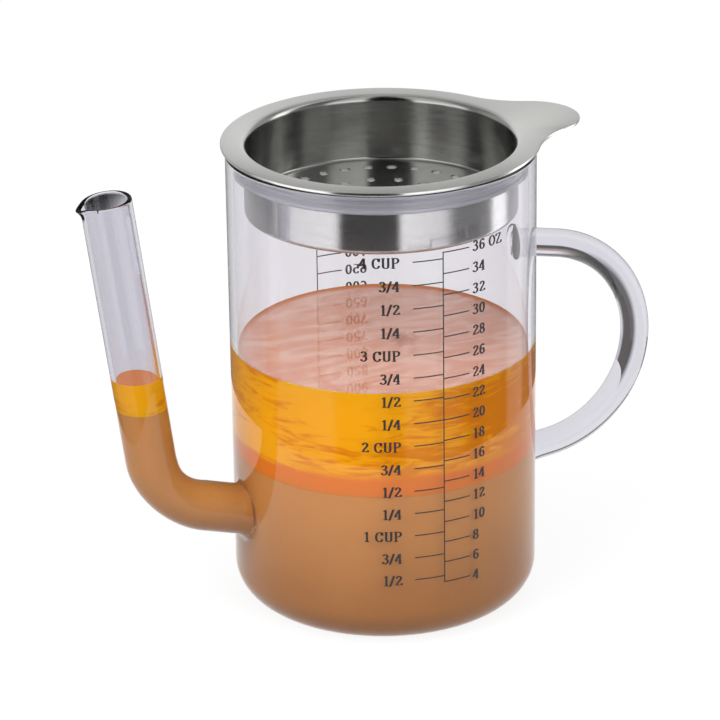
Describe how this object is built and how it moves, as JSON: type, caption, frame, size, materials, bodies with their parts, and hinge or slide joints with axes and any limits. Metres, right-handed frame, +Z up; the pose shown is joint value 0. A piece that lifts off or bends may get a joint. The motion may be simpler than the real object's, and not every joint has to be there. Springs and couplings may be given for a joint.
{
  "type": "gravy fat separator",
  "caption": "Glass fat separator jug with a low spout, rod handle, printed measuring scales, silicone seal ring and lift-out steel strainer, partly filled with gravy and fat.",
  "frame": {"origin": "centre of the flat underside of the jug's base", "axes": "+Z up, +X towards the handle and the thumb tab, -X towards the spout, -Y towards the cup and ounce scale"},
  "size_m": [0.2081, 0.107, 0.1634],
  "materials": {
    "glass": "clear borosilicate glass, fire polished",
    "ink": "fired black print",
    "silicone": "translucent moulded silicone",
    "steel": "stainless steel, fine brushed grain",
    "gravy": "cloudy brown liquid",
    "fat": "clear orange liquid"
  },
  "bodies": {
    "jug": {"glass_jug": "glass", "spout_tube": "glass", "handle_rod": "glass", "cup_oz_scale": "ink", "ml_scale": "ink", "jug_gravy": "gravy", "jug_fat": "fat", "spout_gravy": "gravy", "spout_fat": "fat"},
    "seal_ring": {"seal_ring": "silicone"},
    "strainer": {"strainer": "steel"}
  },
  "joints": [
    {"name": "seal_lift", "type": "slide", "parent": "jug", "child": "seal_ring", "axis": [0, 0, 1], "range_m": [0, 0.08]},
    {"name": "strainer_lift", "type": "slide", "parent": "seal_ring", "child": "strainer", "axis": [0, 0, 1], "range_m": [0, 0.06]}
  ]
}
